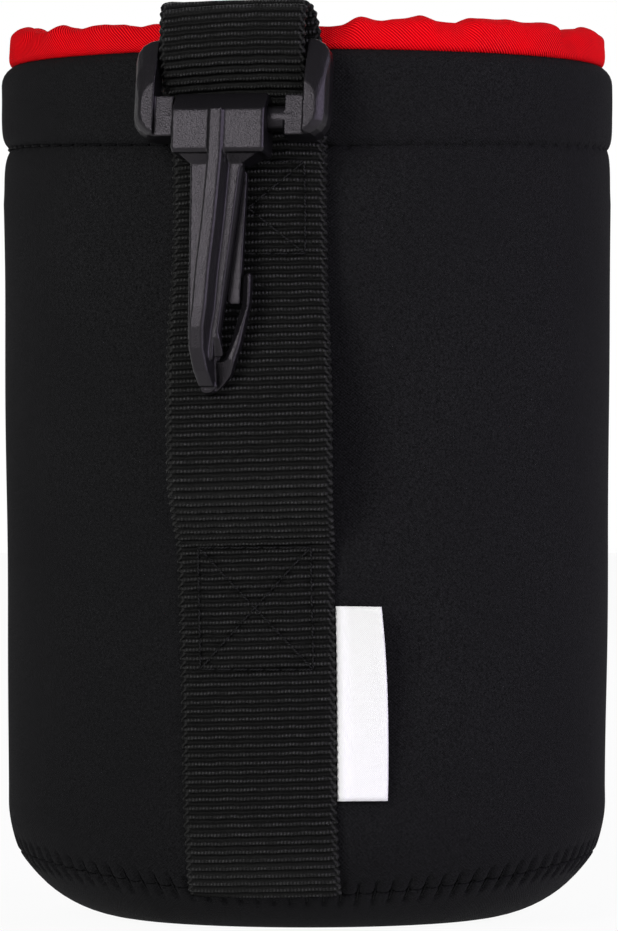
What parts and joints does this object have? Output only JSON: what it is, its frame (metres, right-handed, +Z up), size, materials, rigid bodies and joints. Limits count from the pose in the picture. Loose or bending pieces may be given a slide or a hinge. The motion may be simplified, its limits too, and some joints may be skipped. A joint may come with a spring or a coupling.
{
  "type": "neoprene lens pouch",
  "caption": "Oval padded lens pouch with a stitched base, a webbing belt strap carrying a framed snap hook, and a gathered nylon collar that pulls up.",
  "frame": {"origin": "middle of the flat base, on the surface the pouch stands on", "axes": "+Z up through the mouth, -Y out of the strap side, +X to the right when the strap side is seen from the front"},
  "size_m": [0.0944, 0.1011, 0.1377],
  "materials": {
    "neoprene": "matt black neoprene sheet faced with knitted jersey",
    "nylon": "bright red nylon twill with a satin sheen",
    "webbing": "black ribbed woven webbing",
    "tape": "white woven tape, plain",
    "acetal": "black moulded acetal, finely spark-eroded"
  },
  "bodies": {
    "pouch": {"body_wall": "neoprene", "base_panel": "neoprene", "collar_fold": "nylon", "collar_sleeve": "nylon", "belt_strap": "webbing", "blank_label": "tape"},
    "frame": {"loop_frame": "acetal"},
    "hook": {"hook_body": "acetal"},
    "tongue": {"gate_tongue": "acetal"},
    "collar_end": {"collar_hem": "nylon"}
  },
  "joints": [
    {"name": "frame_hinge", "type": "hinge", "parent": "pouch", "child": "frame", "pos_m": [-0.01045, -0.04614, 0.13], "axis": [-0.9813, 0.1926, 0], "range_deg": [0, 110]},
    {"name": "hook_hinge", "type": "hinge", "parent": "frame", "child": "hook", "pos_m": [-0.0122, -0.04931, 0.12021], "axis": [0.9813, -0.1926, 0], "range_deg": [-75, 0]},
    {"name": "gate_spring", "type": "hinge", "parent": "hook", "child": "tongue", "pos_m": [-0.01005, -0.05083, 0.11208], "axis": [0.1909, 0.9727, -0.1323], "range_deg": [0, 5], "stiffness_Nm_per_rad": 0.5},
    {"name": "collar_pull", "type": "slide", "parent": "pouch", "child": "collar_end", "axis": [0, 0, 1], "range_m": [0, 0.09], "deforming": ["collar_sleeve"]}
  ]
}
